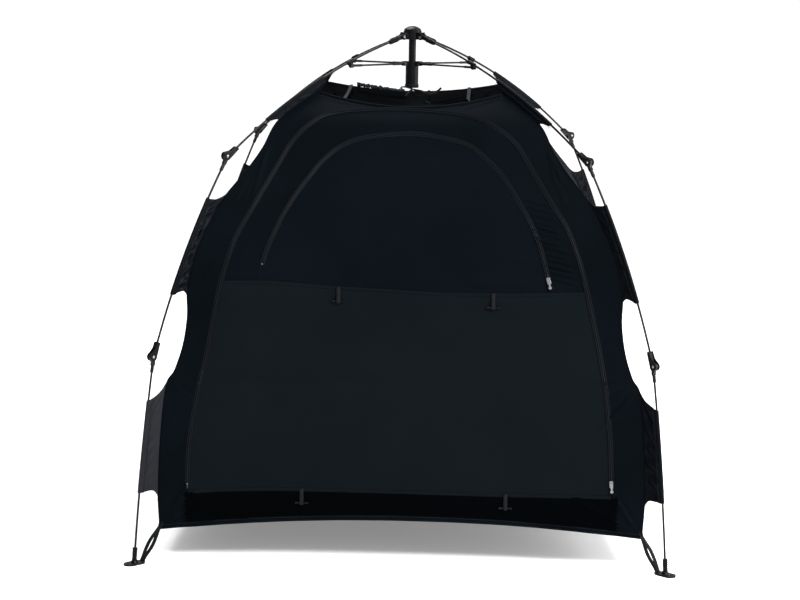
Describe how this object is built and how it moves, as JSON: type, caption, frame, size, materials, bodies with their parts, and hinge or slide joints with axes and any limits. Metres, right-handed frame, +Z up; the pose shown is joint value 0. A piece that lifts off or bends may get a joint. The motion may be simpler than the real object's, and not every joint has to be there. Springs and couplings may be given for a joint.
{
  "type": "pop up ground blind",
  "caption": "Free-standing fabric cabin with a zipped front panel, hung inside a folding umbrella frame with jointed legs and staked feet.",
  "frame": {"origin": "on the ground, under the middle of the hub, at the middle of the four feet", "axes": "+Z up along the mast, -Y is the zipped front, +X to the right seen from the front"},
  "size_m": [1.5506, 1.5506, 1.5],
  "materials": {
    "shell_fabric": "coated polyester, slight sheen",
    "panel_fabric": "matte brushed polyester",
    "zip_tape": "woven tape with moulded teeth",
    "webbing": "woven webbing",
    "rivet_metal": "steel rivet",
    "zip_metal": "bright zinc",
    "pole": "pultruded fibreglass rod",
    "mast_metal": "black satin paint",
    "hub_plastic": "black moulded nylon"
  },
  "bodies": {
    "root": {"hub_cap": "hub_plastic", "hub_body": "hub_plastic", "hub_pins": "rivet_metal", "mast_tube": "mast_metal", "front_wall": "shell_fabric", "door_panel": "shell_fabric", "lower_panel": "panel_fabric", "window_panel": "shell_fabric", "side_walls": "shell_fabric", "back_wall": "shell_fabric", "roof_panel": "shell_fabric", "pole_sleeves": "shell_fabric", "door_zip": "zip_tape", "window_zip": "zip_tape", "toggles": "webbing", "tie_straps": "webbing"},
    "runner": {"runner_collar": "hub_plastic", "runner_sleeve": "mast_metal", "runner_pins": "rivet_metal", "pull_cord": "webbing"},
    "door_zip_slider": {"door_slider": "zip_metal"},
    "door_zip_pull": {"door_pull": "zip_metal"},
    "window_zip_slider": {"window_slider": "zip_metal"},
    "window_zip_pull": {"window_pull": "zip_metal"},
    "upper_leg_fl": {"hub_knuckle_fl": "hub_plastic", "upper_pole_fl": "pole", "strut_bracket_fl": "hub_plastic", "upper_elbow_fl": "hub_plastic"},
    "strut_arm_fl": {"strut_fl": "pole"},
    "mid_leg_fl": {"mid_pole_fl": "pole", "lower_elbow_fl": "hub_plastic"},
    "lower_leg_fl": {"lower_pole_fl": "pole", "foot_fl": "hub_plastic"},
    "upper_leg_fr": {"hub_knuckle_fr": "hub_plastic", "upper_pole_fr": "pole", "strut_bracket_fr": "hub_plastic", "upper_elbow_fr": "hub_plastic"},
    "strut_arm_fr": {"strut_fr": "pole"},
    "mid_leg_fr": {"mid_pole_fr": "pole", "lower_elbow_fr": "hub_plastic"},
    "lower_leg_fr": {"lower_pole_fr": "pole", "foot_fr": "hub_plastic"},
    "upper_leg_br": {"hub_knuckle_br": "hub_plastic", "upper_pole_br": "pole", "strut_bracket_br": "hub_plastic", "upper_elbow_br": "hub_plastic"},
    "strut_arm_br": {"strut_br": "pole"},
    "mid_leg_br": {"mid_pole_br": "pole", "lower_elbow_br": "hub_plastic"},
    "lower_leg_br": {"lower_pole_br": "pole", "foot_br": "hub_plastic"},
    "upper_leg_bl": {"hub_knuckle_bl": "hub_plastic", "upper_pole_bl": "pole", "strut_bracket_bl": "hub_plastic", "upper_elbow_bl": "hub_plastic"},
    "strut_arm_bl": {"strut_bl": "pole"},
    "mid_leg_bl": {"mid_pole_bl": "pole", "lower_elbow_bl": "hub_plastic"},
    "lower_leg_bl": {"lower_pole_bl": "pole", "foot_bl": "hub_plastic"}
  },
  "joints": [
    {"name": "frame_fold", "type": "hinge", "parent": "root", "child": "upper_leg_fl", "pos_m": [-0.0297, -0.0297, 1.467], "axis": [0.7071, -0.7071, 0], "range_deg": [0, 58], "deforming": ["front_wall", "door_panel", "lower_panel", "window_panel", "side_walls", "back_wall", "roof_panel", "pole_sleeves", "door_zip", "window_zip", "toggles", "tie_straps"]},
    {"name": "upper_elbow_hinge_fl", "type": "hinge", "parent": "upper_leg_fl", "child": "mid_leg_fl", "pos_m": [-0.51548, -0.51548, 1.137], "axis": [-0.7071, 0.7071, 0], "range_deg": [0, 39.5]},
    {"name": "lower_elbow_hinge_fl", "type": "hinge", "parent": "mid_leg_fl", "child": "lower_leg_fl", "pos_m": [-0.70216, -0.70216, 0.586], "axis": [-0.7071, 0.7071, 0], "range_deg": [0, 190]},
    {"name": "strut_hinge_fl", "type": "hinge", "parent": "runner", "child": "strut_arm_fl", "pos_m": [-0.02404, -0.02404, 1.386], "axis": [-0.7071, 0.7071, 0], "range_deg": [0, 77]},
    {"name": "hub_hinge_fr", "type": "hinge", "parent": "root", "child": "upper_leg_fr", "pos_m": [0.0297, -0.0297, 1.467], "axis": [0.7071, 0.7071, 0], "range_deg": [0, 58]},
    {"name": "upper_elbow_hinge_fr", "type": "hinge", "parent": "upper_leg_fr", "child": "mid_leg_fr", "pos_m": [0.51548, -0.51548, 1.137], "axis": [-0.7071, -0.7071, 0], "range_deg": [0, 39.5]},
    {"name": "lower_elbow_hinge_fr", "type": "hinge", "parent": "mid_leg_fr", "child": "lower_leg_fr", "pos_m": [0.70216, -0.70216, 0.586], "axis": [-0.7071, -0.7071, 0], "range_deg": [0, 190]},
    {"name": "strut_hinge_fr", "type": "hinge", "parent": "runner", "child": "strut_arm_fr", "pos_m": [0.02404, -0.02404, 1.386], "axis": [-0.7071, -0.7071, 0], "range_deg": [0, 77]},
    {"name": "hub_hinge_br", "type": "hinge", "parent": "root", "child": "upper_leg_br", "pos_m": [0.0297, 0.0297, 1.467], "axis": [-0.7071, 0.7071, 0], "range_deg": [0, 58]},
    {"name": "upper_elbow_hinge_br", "type": "hinge", "parent": "upper_leg_br", "child": "mid_leg_br", "pos_m": [0.51548, 0.51548, 1.137], "axis": [0.7071, -0.7071, 0], "range_deg": [0, 39.5]},
    {"name": "lower_elbow_hinge_br", "type": "hinge", "parent": "mid_leg_br", "child": "lower_leg_br", "pos_m": [0.70216, 0.70216, 0.586], "axis": [0.7071, -0.7071, 0], "range_deg": [0, 190]},
    {"name": "strut_hinge_br", "type": "hinge", "parent": "runner", "child": "strut_arm_br", "pos_m": [0.02404, 0.02404, 1.386], "axis": [0.7071, -0.7071, 0], "range_deg": [0, 77]},
    {"name": "hub_hinge_bl", "type": "hinge", "parent": "root", "child": "upper_leg_bl", "pos_m": [-0.0297, 0.0297, 1.467], "axis": [-0.7071, -0.7071, 0], "range_deg": [0, 58]},
    {"name": "upper_elbow_hinge_bl", "type": "hinge", "parent": "upper_leg_bl", "child": "mid_leg_bl", "pos_m": [-0.51548, 0.51548, 1.137], "axis": [0.7071, 0.7071, 0], "range_deg": [0, 39.5]},
    {"name": "lower_elbow_hinge_bl", "type": "hinge", "parent": "mid_leg_bl", "child": "lower_leg_bl", "pos_m": [-0.70216, 0.70216, 0.586], "axis": [0.7071, 0.7071, 0], "range_deg": [0, 190]},
    {"name": "strut_hinge_bl", "type": "hinge", "parent": "runner", "child": "strut_arm_bl", "pos_m": [-0.02404, 0.02404, 1.386], "axis": [0.7071, 0.7071, 0], "range_deg": [0, 77]},
    {"name": "runner_slide", "type": "slide", "parent": "root", "child": "runner", "axis": [0, 0, -1], "range_m": [0, 0.361]},
    {"name": "door_zip_slide", "type": "slide", "parent": "root", "child": "door_zip_slider", "axis": [-0.0701, 0.0678, 0.9952], "range_m": [0, 0.228]},
    {"name": "door_zip_pull_hinge", "type": "hinge", "parent": "door_zip_slider", "child": "door_zip_pull", "pos_m": [0.59283, -0.69092, 0.24541], "axis": [-0.9975, 0, -0.0703], "range_deg": [0, 150]},
    {"name": "window_zip_slide", "type": "slide", "parent": "root", "child": "window_zip_slider", "axis": [-0.2357, 0.2706, 0.9334], "range_m": [0, 0.106]},
    {"name": "window_zip_pull_hinge", "type": "hinge", "parent": "window_zip_slider", "child": "window_zip_pull", "pos_m": [0.40512, -0.6061, 0.80949], "axis": [-0.9696, 0, -0.2448], "range_deg": [0, 150]}
  ],
  "couplings": [
    {"joint": "upper_elbow_hinge_fl", "follows": "frame_fold", "ratio": 0.68103},
    {"joint": "lower_elbow_hinge_fl", "follows": "frame_fold", "ratio": 3.2759},
    {"joint": "strut_hinge_fl", "follows": "frame_fold", "ratio": 1.3276},
    {"joint": "hub_hinge_fr", "follows": "frame_fold", "ratio": 1},
    {"joint": "upper_elbow_hinge_fr", "follows": "frame_fold", "ratio": 0.68103},
    {"joint": "lower_elbow_hinge_fr", "follows": "frame_fold", "ratio": 3.2759},
    {"joint": "strut_hinge_fr", "follows": "frame_fold", "ratio": 1.3276},
    {"joint": "hub_hinge_br", "follows": "frame_fold", "ratio": 1},
    {"joint": "upper_elbow_hinge_br", "follows": "frame_fold", "ratio": 0.68103},
    {"joint": "lower_elbow_hinge_br", "follows": "frame_fold", "ratio": 3.2759},
    {"joint": "strut_hinge_br", "follows": "frame_fold", "ratio": 1.3276},
    {"joint": "hub_hinge_bl", "follows": "frame_fold", "ratio": 1},
    {"joint": "upper_elbow_hinge_bl", "follows": "frame_fold", "ratio": 0.68103},
    {"joint": "lower_elbow_hinge_bl", "follows": "frame_fold", "ratio": 3.2759},
    {"joint": "strut_hinge_bl", "follows": "frame_fold", "ratio": 1.3276},
    {"joint": "runner_slide", "follows": "frame_fold", "m_per_rad": 0.35662}
  ]
}
